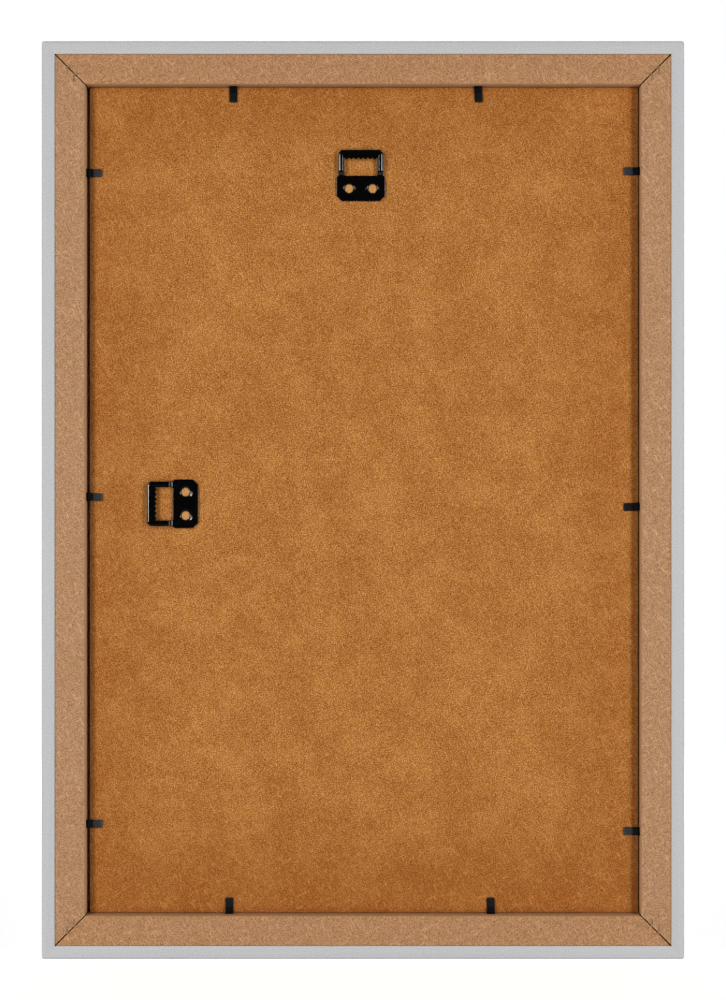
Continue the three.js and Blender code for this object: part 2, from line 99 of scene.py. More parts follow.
# Foil on the rails, with sizes in millimetres as in the model
FOIL_THICKNESS = 0.4
FOIL_BACK_FLAP = 7.1
FOIL_LIP_RETURN = 2.5
FOIL_MITRE_GAP = 0.01
FOIL_EDGE_RADIUS = 0.2
FRAME_DEPTH = 18
RAIL_WIDTH = 29
LIP_THICKNESS = 6
BACK_EDGE_RADIUS = 1.2
FRONT_EDGE_RADIUS = 2.4
SIGHT_EDGE_RADIUS = 2
CORNER_RADIUS = 1.3
ARC_STEPS = 10
CORNER_REACH = 32
CORNER_STEPS = 4

# Bendable tabs, in millimetres: reach is measured from the rebate wall, and rise from the board
TAB_WIDTH = 4.4
TAB_THICKNESS = 0.5
TAB_EMBED = 6
TAB_REACH = 8.8
TAB_RISE = 1
TAB_TIP_CLEARANCE = 0.15
TAB_TIP_LENGTH = 4.6
TAB_BEND_OFFSET = 0.4
TAB_BEND_END = 1.1
TAB_CORNER_RADIUS = 0.7
TAB_EDGE_RADIUS = 0.14
TAB_TIP_THINNING = 0.55
TAB_STEPS = {"shank": 2, "bend": 12, "slope": 10, "flat": 4, "tip": 6}
ALONG_TAB = "along_tab"
WALL_SHADE_RAGGEDNESS = 2
WALL_SHADE_ENDS = (4.4, 5.0)
TIP_SHEEN_RANGE = (8.2, 9.9)
TABS_LEFT_BLACK = ("tab_top", "tab_bottom", "tab_left_middle")

# Hangers, with sizes in millimetres
HANGER_WELD = 0.001
HANGER_VOXEL = 0.16
HANGER_SMOOTHING = 2
HANGER_KEPT_FACES = 0.4
COLLAR_SPACING = 12.9
COLLAR_BORE_RADIUS = 2.5
HANGER_BASE_HEIGHT = 13.9
BULGE_HEIGHT = 0.35
BULGE_GAP = 0.2
BULGE_RINGS = 5
BULGE_SIDES = 32
BULGE_TOP = 0.97

# Camera: the photograph shows this height of the frame's back plane, square on
IMAGE_HEIGHT = 0.5444
CAMERA_DISTANCE = 1.0
SENSOR = 36

# Lamps: a softbox and a strip on each side of the camera, and a softbox for the picture side
BOX_ANGLE = math.radians(46)
BOX_DISTANCE = 1.05
BOX_SIZE = (0.235, 1.6)
BOX_POWER = 10.1
STRIP_ANGLE = math.radians(52)
STRIP_RISE = math.radians(8)
STRIP_LEAN = math.radians(30)
STRIP_SIZE = (0.2, 0.6)
STRIP_POWER = 8
FRONT_BOX_RISE = math.radians(4)
FRONT_BOX_SIZE = (0.5, 0.5)
FRONT_BOX_POWER = 7
WHITE = (1, 1, 1, 1)
AMBIENT = 0.02
DIM_ROOM = 0.02
ROOM_STARTS = (-0.1, 0.4)
BEFORE_FIRST_BOUNCE = 0.5

# Floor, in metres
FLOOR_HALF = 6
FLOOR_GAP = 0.0002
FLOOR_BOUNCE = 0.12
FLOOR_GLOW_NEAR = 0.6
FLOOR_FADE = (0.35, 1.0)


def add_object(name, data):
    holder = bpy.data.objects.new(name, data)
    bpy.context.scene.collection.objects.link(holder)
    return holder


def mesh_piece(name, mesh, material):
    piece = add_object(name, mesh)
    mesh.materials.clear()
    mesh.materials.append(material)
    return piece


def finished_mesh(name, shape):
    """A mesh from a bmesh, with outward normals, smooth apart from its sharp edges."""
    bmesh.ops.recalc_face_normals(shape, faces=shape.faces)
    mesh = bpy.data.meshes.new(name)
    shape.to_mesh(mesh)
    shape.free()
    mesh.shade_smooth()
    mesh.set_sharp_from_angle(angle=SHARP_ANGLE)
    return mesh


def add_loft(shape, rings):
    """Adds a closed body through rings of points, with a flat face on the first ring and the last."""
    loops = [[shape.verts.new(point) for point in ring] for ring in rings]
    count = len(rings[0])
    for near, far in zip(loops, loops[1:]):
        for here in range(count):
            there = (here + 1) % count
            shape.faces.new((near[here], near[there], far[there], far[here]))
    shape.faces.new(loops[0])
    shape.faces.new(loops[-1])


def lofted_mesh(name, rings):
    shape = bmesh.new()
    add_loft(shape, rings)
    return finished_mesh(name, shape)


def arc(centre, radius, start, end, steps):
    points = []
    for step in range(steps + 1):
        angle = start + (end - start) * step / steps
        points.append((centre[0] + radius * math.cos(angle), centre[1] + radius * math.sin(angle)))
    return points


class Tree:
    """Short calls for the nodes of a material or a world."""

    def __init__(self, owner):
        owner.use_nodes = True
        self.nodes = owner.node_tree.nodes
        self.links = owner.node_tree.links
        self.coordinates = self.nodes.new("ShaderNodeTexCoord").outputs

    def plug(self, socket, value):
        if isinstance(value, bpy.types.NodeSocket):
            self.links.new(value, socket)
        else:
            socket.default_value = value

    def vector(self, operation, first, second=None, scale=None):
        node = self.nodes.new("ShaderNodeVectorMath")
        node.operation = operation
        self.plug(node.inputs[0], first)
        if second is not None:
            self.plug(node.inputs[1], second)
        if scale is not None:
            node.inputs["Scale"].default_value = scale
        return node.outputs["Value" if operation == "LENGTH" else "Vector"]

    def parts(self, vector):
        """The X, Y and Z of a vector, by name."""
        node = self.nodes.new("ShaderNodeSeparateXYZ")
        self.links.new(vector, node.inputs[0])
        return node.outputs

    def calculate(self, operation, *values):
        node = self.nodes.new("ShaderNodeMath")
        node.operation = operation
        for socket, value in zip(node.inputs, values):
            self.plug(socket, value)
        return node.outputs[0]

    def rescale(self, value, low, high, new_low=0.0, new_high=1.0, curve="SMOOTHSTEP"):
        """The value's range from low to high becomes a step, smooth or straight, between the new ends."""
        node = self.nodes.new("ShaderNodeMapRange")
        node.interpolation_type = curve
        self.plug(node.inputs["Value"], value)
        node.inputs["From Min"].default_value = low
        node.inputs["From Max"].default_value = high
        node.inputs["To Min"].default_value = new_low
        node.inputs["To Max"].default_value = new_high
        return node.outputs["Result"]


class Finish(Tree):
    """A material with the nodes that the finishes share.

    Textures are placed by the object's own coordinates, in millimetres.
    """

    def __init__(self, name):
        self.material = bpy.data.materials.new(name)
        super().__init__(self.material)
        self.shader = self.nodes["Principled BSDF"]
        self.place = self.vector("SCALE", self.coordinates["Object"], scale=1 / MM)

    def set(self, **values):
        """Sets sockets of the shader, named with underscores for spaces."""
        for socket, value in values.items():
            self.shader.inputs[socket.replace("_", " ")].default_value = value

    def drive(self, socket, output):
        self.links.new(output, self.shader.inputs[socket])

    def stretched(self, angle, stretch):
        """Coordinates for a texture drawn out along one way, at this angle about Y from X."""
        node = self.nodes.new("ShaderNodeMapping")
        node.vector_type = "TEXTURE"
        self.links.new(self.place, node.inputs["Vector"])
        node.inputs["Rotation"].default_value = (0, angle, 0)
        node.inputs["Scale"].default_value = (stretch, 1, 1)
        return node.outputs["Vector"]

    def noise(self, scale, detail=2.0, roughness=0.5, place=None):
        node = self.nodes.new("ShaderNodeTexNoise")
        self.links.new(place or self.place, node.inputs["Vector"])
        node.inputs["Scale"].default_value = scale
        node.inputs["Detail"].default_value = detail
        node.inputs["Roughness"].default_value = roughness
        return node.outputs["Fac"]

    def specks(self, scale, size, share):
        """Small round specks with soft edges: this share inside a speck and 0 between them."""
        node = self.nodes.new("ShaderNodeTexVoronoi")
        self.links.new(self.place, node.inputs["Vector"])
        node.inputs["Scale"].default_value = scale
        speck = self.rescale(node.outputs["Distance"], size, size * SPECK_CORE)
        return self.calculate("MULTIPLY", speck, share)

    def tint(self, factor, first, second):
        """The first colour, turned into the second by this factor."""
        node = self.nodes.new("ShaderNodeMix")
        node.data_type = "RGBA"
        sockets = {socket.identifier: socket for socket in node.inputs}
        self.plug(sockets["Factor_Float"], factor)
        self.plug(sockets["A_Color"], first)
        self.plug(sockets["B_Color"], second)
        return next(socket for socket in node.outputs if socket.identifier == "Result_Color")

    def bump(self, height, strength, depth):
        node = self.nodes.new("ShaderNodeBump")
        node.inputs["Strength"].default_value = strength
        node.inputs["Distance"].default_value = depth * MM
        self.links.new(height, node.inputs["Height"])
        self.drive("Normal", node.outputs["Normal"])


def from_srgb(red, green, blue):
    """A colour for a shader from levels of 0 to 255 as a picture shows them."""
    def linear(level):
        share = level / 255
        return share / 12.92 if share <= 0.04045 else ((share + 0.055) / 1.055) ** 2.4

    return (linear(red), linear(green), linear(blue), 1)


def fibred(finish, colour, pale, share):
    """The colour with short pale fibres over it, lying three ways."""
    for angle in FIBRE_ANGLES:
        place = finish.stretched(angle, FIBRE_STRETCH)
        fibre = finish.noise(FIBRE_SCALE, detail=1, place=place)
        colour = finish.tint(finish.rescale(fibre, *FIBRE_EDGE, 0, share), colour, pale)
    return colour


def inward_distance(finish, half):
    """Millimetres inward from the nearest edge of a rectangle about the middle of the frame."""
    offset = finish.parts(finish.vector("SUBTRACT", finish.coordinates["Object"], tuple(CENTRE)))
    across = finish.calculate("SUBTRACT", half.x, finish.calculate("ABSOLUTE", offset["X"]))
    down = finish.calculate("SUBTRACT", half.z, finish.calculate("ABSOLUTE", offset["Z"]))
    return finish.calculate("DIVIDE", finish.calculate("MINIMUM", across, down), MM)


def height_above_foot(finish):
    """Millimetres above the board's lower edge."""
    position = finish.parts(finish.coordinates["Object"])
    rise = finish.calculate("SUBTRACT", position["Z"], BOARD_LOW.z)
    return finish.calculate("DIVIDE", rise, MM)


def foil_edge_mask(finish):
    """How much darker the strip of MDF beside the foil's inner edge is made."""
    inward = inward_distance(finish, HALF_SIZE)
    return finish.rescale(inward, FOIL_BACK_FLAP + FOIL_EDGE_DARK_END, FOIL_BACK_FLAP + FOIL_EDGE_DARK_START, 0, FOIL_EDGE_DARK_SHARE)


def raw_mdf(name, warmth):
    """Pressed wood fibre: fine speckle, short pale fibres and dark specks.

    It is lightened as painted light on the faces turned from the back and the front, the rebate walls
    most; the mitre faces are darkened as painted shade, and it is darker beside the foil's inner edge.
    """
    finish = Finish(name)

    def wood(red, green, blue):
        return from_srgb(red, green - warmth / 2, blue - warmth)

    cloud = finish.noise(scale=0.06, detail=4, roughness=0.65)
    speckle = finish.noise(scale=1.8, detail=4, roughness=0.8)
    colour = finish.tint(finish.rescale(speckle, 0.31, 0.69), wood(106, 62, 14), wood(225, 177, 137))
    tone = finish.tint(finish.rescale(cloud, *NOISE_RANGE), wood(175, 133, 88), wood(181, 137, 105))
    colour = finish.tint(0.3, colour, tone)
    colour = fibred(finish, colour, wood(222, 178, 136), 0.5)
    colour = finish.tint(finish.specks(scale=0.28, size=0.16, share=0.6), colour, wood(116, 76, 44))
    normal = finish.parts(finish.coordinates["Normal"])
    # Painted light: faces turned from the back and the front, the rebate walls most, are made paler as if
    # more light reached them
    painted_wall_light = finish.rescale(finish.calculate("ABSOLUTE", normal["Y"]), 0.7, 0.4, 0, 0.5)
    colour = finish.tint(painted_wall_light, colour, wood(208, 170, 134))
    colour = finish.tint(foil_edge_mask(finish), colour, from_srgb(128, 92, 62))
    # Painted shade: the slanted mitre faces are darkened nearly to black, as the deep narrow gap between
    # the rails would be
    slant = finish.calculate("MULTIPLY", normal["X"], normal["Z"])
    mitre = finish.rescale(finish.calculate("ABSOLUTE", slant), 0.2, 0.4)
    colour = finish.tint(mitre, colour, from_srgb(70, 36, 12))
    finish.drive("Base Color", colour)
    finish.drive("Roughness", finish.rescale(speckle, 0.2, 0.8, 0.92, 0.78))
    finish.set(Specular_IOR_Level=0.12)
    finish.bump(speckle, strength=0.35, depth=0.12)
    return finish.material


def hardboard(name="hardboard", pale=False):
    """Smooth orange-brown fibreboard: cloudy mottling, fine grain and a few dark flecks."""
    finish = Finish(name)
    cloud = finish.noise(scale=0.045, detail=5, roughness=0.8)
    grain = finish.noise(scale=1.7, detail=4, roughness=0.8)
    dark, light = from_srgb(136, 65, 1), from_srgb(214, 152, 83)
    grain_tone = finish.rescale(grain, 0.34, 0.66)
    colour = finish.tint(grain_tone, from_srgb(92, 31, 0), from_srgb(229, 152, 40))
    colour = finish.tint(finish.rescale(grain, 0.5, 0.7, 0, 0.75), colour, from_srgb(244, 206, 186))
    colour = finish.tint(finish.rescale(cloud, *NOISE_RANGE, 0.3, 0), colour, dark)
    colour = finish.tint(finish.rescale(cloud, 0.45, 0.7, 0, 0.18), colour, light)
    # Darker and more orange towards the board's edges: a tone, and painted shade that deepens the rails'
    # shadows beside them
    edge = finish.rescale(inward_distance(finish, BOARD_HALF), 0, BOARD_EDGE_TONE_AND_SHADE_REACH, 0.3, 0)
    colour = finish.tint(edge, colour, dark)
    # Darker towards the board's lower edge
    foot = finish.rescale(height_above_foot(finish), 0, BOARD_FOOT_DARKENING, 0.25, 0)
    colour = finish.tint(foot, colour, dark)
    colour = fibred(finish, colour, from_srgb(226, 160, 88), 0.35)
    colour = finish.tint(finish.specks(scale=0.22, size=0.14, share=0.5), colour, from_srgb(118, 62, 18))
    if pale:
        colour = finish.tint(0.45, colour, from_srgb(224, 172, 110))
    finish.drive("Base Color", colour)
    finish.drive("Roughness", finish.rescale(grain, 0.2, 0.8, 0.62, 0.5))
    finish.set(Specular_IOR_Level=0.14)
    finish.bump(grain, strength=0.2, depth=0.08)
    return finish.material


def grey_foil(name, along):
    """Satin paper foil with faint streaks along the rail and a fine embossed grain."""
    finish = Finish(name)
    turn = 0 if along == "x" else QUARTER
    streak = finish.noise(scale=0.6, detail=3, place=finish.stretched(turn, stretch=40))
    grain = finish.noise(scale=1.8, detail=3, roughness=0.6)
    cloud = finish.noise(scale=0.05, detail=2)
    dark, light = from_srgb(194, 194, 195), from_srgb(199, 199, 200)
    colour = finish.tint(finish.rescale(streak, *NOISE_RANGE), dark, light)
    colour = finish.tint(finish.rescale(cloud, *NOISE_RANGE, 0, 0.4), colour, from_srgb(193, 193, 196))
    colour = finish.tint(finish.rescale(grain, 0.38, 0.55, 0.6, 0), colour, from_srgb(180, 180, 182))
    colour = finish.tint(finish.rescale(grain, 0.45, 0.62, 0, 0.6), colour, from_srgb(214, 214, 215))
    finish.drive("Base Color", colour)
    finish.drive("Roughness", finish.rescale(grain, 0.25, 0.75, 0.5, 0.6))
    finish.set(Specular_IOR_Level=0.3)
    finish.bump(grain, strength=0.12, depth=0.05)
    return finish.material


def hanger_paint():
    """Black enamel with a trace of orange peel."""
    finish = Finish("hanger_paint")
    peel = finish.noise(scale=1.6, detail=2)
    dark, light = (0.0008, 0.0008, 0.0009, 1), (0.0018, 0.0018, 0.0019, 1)
    finish.drive("Base Color", finish.tint(finish.rescale(peel, *NOISE_RANGE), dark, light))
    finish.drive("Roughness", finish.rescale(peel, *NOISE_RANGE, 0.08, 0.14))
    finish.set(Specular_IOR_Level=0.5)
    finish.bump(peel, strength=0.08, depth=0.04)
    return finish.material


def tab_steel(name, greyness):
    """Blackened spring steel: black near the rail wall as painted shade, its own dull grey beyond, and a
    painted brown sheen at the tip.
    """
    finish = Finish(name)
    wall_shade_noise = finish.noise(scale=0.8, detail=3)
    scratch = finish.noise(scale=1.6, detail=2, place=finish.stretched(0.3, stretch=6))
    along = finish.nodes.new("ShaderNodeAttribute")
    along.attribute_name = ALONG_TAB
    inward = finish.calculate("MULTIPLY_ADD", wall_shade_noise, WALL_SHADE_RAGGEDNESS, along.outputs["Fac"])
    black = (0.0015, 0.0015, 0.0017, 1)
    grey = (0.030 * greyness, 0.031 * greyness, 0.034 * greyness, 1)
    # Painted shade: black for the first few millimetres out from the rail wall, as in the wall's shadow;
    # dull grey beyond
    colour = finish.tint(finish.rescale(inward, *WALL_SHADE_ENDS), black, grey)
    # Painted highlight: a brown sheen lightens the tip where it bends down to the board
    tip_sheen = finish.rescale(inward, *TIP_SHEEN_RANGE, 0, 0.7 * greyness)
    colour = finish.tint(tip_sheen, colour, (0.10, 0.072, 0.045, 1))
    finish.drive("Base Color", colour)
    finish.drive("Roughness", finish.rescale(scratch, *NOISE_RANGE, 0.4, 0.55))
    finish.set(Specular_IOR_Level=0.1)
    finish.bump(scratch, strength=0.1, depth=0.05)
    return finish.material


def nail_steel():
    """Steel strip browned by the glue and fibre that close over it, with fine drawn lines."""
    finish = Finish("nail_steel")
    drawn = finish.noise(scale=2.5, detail=2, place=finish.stretched(0, stretch=12))
    spots = finish.noise(scale=0.5, detail=3)
    dark, light = (0.28, 0.16, 0.085, 1), (0.40, 0.23, 0.12, 1)
    colour = finish.tint(finish.rescale(drawn, *NOISE_RANGE), dark, light)
    colour = finish.tint(finish.rescale(spots, 0.45, 0.65, 0, 0.7), colour, (0.48, 0.27, 0.14, 1))
    finish.drive("Base Color", colour)
    finish.drive("Roughness", finish.rescale(drawn, *NOISE_RANGE, 0.6, 0.75))
    finish.set(Metallic=0.1)
    return finish.material


def clear_glass():
    """Float glass with a faint green cast and a trace of wiping marks."""
    finish = Finish("clear_glass")
    smear = finish.noise(scale=0.03, detail=4, place=finish.stretched(0.7, stretch=4))
    finish.drive("Roughness", finish.rescale(smear, 0.4, 0.75, 0.0, 0.06))
    finish.set(Base_Color=(0.95, 0.98, 0.97, 1), IOR=1.5, Transmission_Weight=1)
    return finish.material


def insert_paper():
    """The blank sheet that fills the frame when it is sold: warm white paper with a fine tooth."""
    finish = Finish("insert_paper")
    tooth = finish.noise(scale=1.5, detail=4, roughness=0.7)
    cloud = finish.noise(scale=0.04, detail=3)
    dark, light = from_srgb(233, 230, 222), from_srgb(242, 240, 234)
    colour = finish.tint(finish.rescale(tooth, *NOISE_RANGE), dark, light)
    colour = finish.tint(finish.rescale(cloud, *NOISE_RANGE, 0, 0.3), colour, from_srgb(236, 232, 221))
    finish.drive("Base Color", colour)
    finish.drive("Roughness", finish.rescale(tooth, *NOISE_RANGE, 0.8, 0.95))
    finish.bump(tooth, strength=0.15, depth=0.05)
    return finish.material


# Foil: each rail's wrap, swept along the rail with its mitred ends and softened corners
def foil_section():
    """Points of the wrap as (inward from the outer edge, height from the wall plane), in millimetres."""
    back = (BACK_EDGE_RADIUS, -BACK_EDGE_RADIUS)
    front = (FRONT_EDGE_RADIUS, FRONT_EDGE_RADIUS - FRAME_DEPTH)
    sight = (RAIL_WIDTH - SIGHT_EDGE_RADIUS, SIGHT_EDGE_RADIUS - FRAME_DEPTH)
    floor = LIP_THICKNESS - FRAME_DEPTH
    flap = (FOIL_BACK_FLAP - FOIL_EDGE_RADIUS, -FOIL_EDGE_RADIUS)
    skin = FOIL_THICKNESS
    points = arc(flap, FOIL_EDGE_RADIUS, 0, QUARTER, EDGE_STEPS)
    points += arc(back, BACK_EDGE_RADIUS, QUARTER, 2 * QUARTER, ARC_STEPS)
    points += arc(front, FRONT_EDGE_RADIUS, 2 * QUARTER, 3 * QUARTER, ARC_STEPS)
    points += arc(sight, SIGHT_EDGE_RADIUS, 3 * QUARTER, 4 * QUARTER, ARC_STEPS)
    points += [(RAIL_WIDTH, floor), (RAIL_WIDTH - FOIL_LIP_RETURN, floor)]
    points += [(RAIL_WIDTH - FOIL_LIP_RETURN, floor - skin), (RAIL_WIDTH - skin, floor - skin)]
    points += arc(sight, SIGHT_EDGE_RADIUS - skin, 4 * QUARTER, 3 * QUARTER, ARC_STEPS)
    points += arc(front, FRONT_EDGE_RADIUS - skin, 3 * QUARTER, 2 * QUARTER, ARC_STEPS)
    points += arc(back, BACK_EDGE_RADIUS - skin, 2 * QUARTER, QUARTER, ARC_STEPS)
    points.append((FOIL_BACK_FLAP, -skin))
    return points


def corner_shift(inward, past):
    """How far the rounded corner draws the wrap in, this far past the start of the rounding."""
    radius = max(0.0, CORNER_RADIUS - inward)
    return radius - math.sqrt(max(0.0, radius**2 - max(0.0, past) ** 2))


def foil_ring(half_length, end, share):
    """The section near one end: share 0 is clear of the corner and share 1 is the mitre."""
    base = half_length - CORNER_REACH
    ring = []
    for inward, height in foil_section():
        at_mitre = max(0.0, CORNER_RADIUS - inward) * (1 - math.sqrt(0.5))
        mitre = half_length - inward - at_mitre - FOIL_MITRE_GAP / math.sqrt(2)
        along = base + (mitre - base) * share
        shift = at_mitre if share == 1 else corner_shift(inward, along - half_length + CORNER_RADIUS)
        ring.append((end * along, height, inward + shift))
    return ring


def foil_piece(side, turn, material):
    upright = turn % 2 == 1
    half_length, reach = (HALF_SIZE.z, HALF_SIZE.x) if upright else (HALF_SIZE.x, HALF_SIZE.z)
    round_start = 1 - CORNER_RADIUS / CORNER_REACH
    step_share = (1 - round_start) / CORNER_STEPS
    shares = [0.0] + [round_start + step * step_share for step in range(CORNER_STEPS)] + [1.0]
    stations = [(-1, share) for share in reversed(shares)] + [(1, share) for share in shares]
    placed = Matrix.Translation((CENTRE.x, 0, CENTRE.z)) @ Matrix.Rotation(turn * QUARTER, 4, "Y")
    rings = []
    for end, share in stations:
        ring = foil_ring(half_length / MM, end, share)
        rings.append([placed @ Vector((x * MM, y * MM, reach - inward * MM)) for x, y, inward in ring])
    name = f"foil_wrap_{side}"
    piece = mesh_piece(name, lofted_mesh(name, rings), material)
    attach(piece, "frame")
    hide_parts(f"foil_{side}")


# Tabs: one strip each, fixed in the rail at one end and placed by its joint
def tab_height(inward):
    """Height of the strip's middle plane above the board."""
    high = TAB_RISE + TAB_THICKNESS / 2
    low = TAB_TIP_CLEARANCE + TAB_THICKNESS / 2
    knee = TAB_REACH - TAB_TIP_LENGTH
    share = min(1.0, max(0.0, (inward - TAB_BEND_OFFSET) / (knee - TAB_BEND_OFFSET)))
    return high + (low - high) * (1 - math.cos(math.pi * share)) / 2


def tab_half_width(inward):
    """Half the strip's width, which shrinks where the corners of its tip are rounded."""
    past = max(0.0, inward - TAB_REACH + TAB_CORNER_RADIUS)
    return TAB_WIDTH / 2 - TAB_CORNER_RADIUS + math.sqrt(max(0.0, TAB_CORNER_RADIUS**2 - past**2))


def tab_stations():
    """How far inward the strip's rings lie, close together in the bend and at the tip."""
    knee = TAB_REACH - TAB_TIP_LENGTH
    tip = TAB_REACH - TAB_CORNER_RADIUS
    limits = [-TAB_EMBED, -TAB_BEND_OFFSET, TAB_BEND_END, knee, tip, TAB_REACH]
    stations = [-TAB_EMBED]
    for start, end, steps in zip(limits, limits[1:], TAB_STEPS.values()):
        for step in range(1, steps + 1):
            share = step / steps
            eased = math.sin(QUARTER * share) if end == TAB_REACH else share
            stations.append(start + (end - start) * eased)
    return stations


def tab_ring(inward):
    """The strip's cross-section as (across, height) points, with its edges rounded."""
    half = tab_half_width(inward) - TAB_EDGE_RADIUS
    thin = TAB_TIP_THINNING if inward >= TAB_REACH else 1
    lift = TAB_THICKNESS / 2 * thin - TAB_EDGE_RADIUS
    points = []
    for corner, (across, up) in enumerate(((half, lift), (-half, lift), (-half, -lift), (half, -lift))):
        start = corner * QUARTER
        points += arc((across, up), TAB_EDGE_RADIUS, start, start + QUARTER, EDGE_STEPS)
    return points


def tab_piece(joint, material):
    body = joint["child"]
    across = Vector(joint["axis"]).normalized()
    inward = BACKWARD.cross(across)
    hinge = Vector(joint["pos_m"])
    face = TAB_RISE + TAB_THICKNESS

    def spot(side, depth, height):
        offset = across * side + inward * (depth - TAB_BEND_OFFSET) + BACKWARD * (height - face)
        return hinge + offset * MM

    rings = []
    for depth in tab_stations():
        rings.append([spot(side, depth, tab_height(depth) + up) for side, up in tab_ring(depth)])
    name = body.replace("tab_", "tab_strip_")
    mesh = lofted_mesh(name, rings)
    along = mesh.attributes.new(ALONG_TAB, "FLOAT", "POINT")
    for point, vertex in zip(along.data, mesh.vertices):
        point.value = (vertex.co - hinge).dot(inward) / MM + TAB_BEND_OFFSET
    piece = mesh_piece(name, mesh, material)
    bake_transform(piece)
    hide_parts(f"{body}_shank", f"{body}_blade")


# Hangers: the pressed shape with the edges and slopes rounded as the paint rounds them
def hanger_piece(node_name, material):
    """The node's own mesh, remeshed in millimetres so that its edges come out round."""
    mesh = frame["nodes"][node_name].data.copy()
    mesh.transform(Matrix.Scale(1 / MM, 4))
    name = node_name.replace("hanger", "sawtooth_hanger")
    piece = mesh_piece(name, mesh, material)
    weld = piece.modifiers.new("weld", "WELD")
    weld.merge_threshold = HANGER_WELD
    remesh = piece.modifiers.new("remesh", "REMESH")
    remesh.mode = "VOXEL"
    remesh.voxel_size = HANGER_VOXEL
    smooth = piece.modifiers.new("smooth", "SMOOTH")
    smooth.iterations = HANGER_SMOOTHING
    decimate = piece.modifiers.new("decimate", "DECIMATE")
    decimate.ratio = HANGER_KEPT_FACES
    shaped = bpy.data.meshes.new_from_object(piece.evaluated_get(bpy.context.evaluated_depsgraph_get()))
    piece.modifiers.clear()
    shaped.transform(Matrix.Scale(MM, 4))
    shaped.materials.clear()
    shaped.materials.append(material)
    shaped.shade_smooth()
    piece.data = shaped
    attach(piece, "frame")
    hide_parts(node_name)
    return piece


def bulge_centres():
    """Middles of the four collars, on the board's back."""
    reach = COLLAR_SPACING / 2 * MM
    half_base = HANGER_BASE_HEIGHT / 2 * MM
    low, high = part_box("hanger_portrait")
    upright = Vector(((low.x + high.x) / 2, BOARD_HIGH.y, low.z + half_base))
    low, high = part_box("hanger_landscape")
    sideways = Vector((low.x + half_base, BOARD_HIGH.y, (low.z + high.z) / 2))
    places = [upright + Vector((hand * reach, 0, 0)) for hand in (-1, 1)]
    return places + [sideways + Vector((0, 0, hand * reach)) for hand in (-1, 1)]


def bulge_rings(centre):
    """Rings of points on a low dome, which ends in a small flat face at its top."""
    radius = (COLLAR_BORE_RADIUS - BULGE_GAP) * MM
    rings = []
    for step in range(BULGE_RINGS + 1):
        angle = QUARTER * step / BULGE_RINGS
        wide = radius * math.cos(angle * BULGE_TOP)
        high = BULGE_HEIGHT * MM * math.sin(angle)
        ring = []
        for side in range(BULGE_SIDES):
            turn = 2 * math.pi * side / BULGE_SIDES
            ring.append(centre + Vector((wide * math.cos(turn), high, wide * math.sin(turn))))
        rings.append(ring)
    return rings


def bulge_piece(material):
    """The board's face, pushed up inside each collar when the hanger was pressed on."""
    shape = bmesh.new()
    for centre in bulge_centres():
        add_loft(shape, bulge_rings(centre))
    piece = mesh_piece("board_bulges", finished_mesh("board_bulges", shape), material)
    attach(piece, "frame")


def dress_nodes():
    """Finishes for the solids whose shape is right as it is."""
    level_rail = raw_mdf("raw_mdf_level", warmth=7)
    # By the start of a node's name, where a later entry goes over an earlier one
    finishes = {
        "rail_": raw_mdf("raw_mdf_upright", warmth=0),
        "rail_top": level_rail,
        "rail_bottom": level_rail,
        "backing_board": hardboard(),
        "glazing_sheet": clear_glass(),
        "insert_sheet": insert_paper(),
        "corner_nail_": nail_steel(),
    }
    for name, node in frame["nodes"].items():
        for start, material in finishes.items():
            if name.startswith(start):
                node.data.materials.clear()
                node.data.materials.append(material)
    # Light passes the glass on its way to the insert
    frame["nodes"]["glazing_sheet"].visible_shadow = False


def dress_frame():
    """Every finish and piece of the frame. It gives back the hangers, which have their own lamps."""
    dress_nodes()
    foils = [grey_foil("grey_foil_level", along="x"), grey_foil("grey_foil_upright", along="z")]
    for turn, side in enumerate(("top", "right", "bottom", "left")):
        foil_piece(side, turn, foils[turn % 2])
    # Three tabs get a darker, less grey copy of the steel
    black = tab_steel("tab_steel_black", greyness=0.2)
    greyness = tab_steel("tab_steel_rubbed", greyness=1)
    for joint in frame["joints"]:
        tab_piece(joint, black if joint["child"].startswith(TABS_LEFT_BLACK) else greyness)
    paint = hanger_paint()
    hangers = [hanger_piece(node_name, paint) for node_name in ("hanger_portrait", "hanger_landscape")]
    bulge_piece(hardboard("hardboard_pressed", pale=True))
    return hangers


# Stage: the white surroundings, the lamps and the camera
def seen_share(tree, coordinate):
    """How bright the white surroundings show: 1 to the camera and through glass, 0 as a light.

    In gloss they show too, but the room behind the photographer, at +Y, is dim.
    A ray that has left a dull surface carries light, so it sees none of this.
    """
    position = tree.parts(tree.coordinates[coordinate])
    room = tree.rescale(position["Y"], *ROOM_STARTS, 1, DIM_ROOM)
    path = tree.nodes.new("ShaderNodeLightPath").outputs
    share = tree.calculate("MULTIPLY", path["Is Glossy Ray"], room)
    for ray in ("Is Camera Ray", "Is Transmission Ray"):
        share = tree.calculate("MAXIMUM", share, path[ray])
    unscattered = tree.calculate("LESS_THAN", path["Diffuse Depth"], BEFORE_FIRST_BOUNCE)
    return tree.calculate("MULTIPLY", share, unscattered)


def add_world():
    world = bpy.data.worlds.new("studio")
    tree = Tree(world)
    background = tree.nodes["Background"].inputs
    background["Color"].default_value = WHITE
    tree.plug(background["Strength"], tree.calculate("MAXIMUM", seen_share(tree, "Generated"), AMBIENT))
    bpy.context.scene.world = world


def add_floor():
    mesh = bpy.data.meshes.new("floor")
    height = cad_low.z - FLOOR_GAP
    corners = [(-1, -1), (1, -1), (1, 1), (-1, 1)]
    mesh.from_pydata([(x * FLOOR_HALF, y * FLOOR_HALF, height) for x, y in corners], [], [(0, 1, 2, 3)])
    mesh.materials.append(pale_floor())
    floor = add_object("floor", mesh)
    # The lower halves of the tall softboxes stand for the light that a white floor throws up
    floor.visible_shadow = False


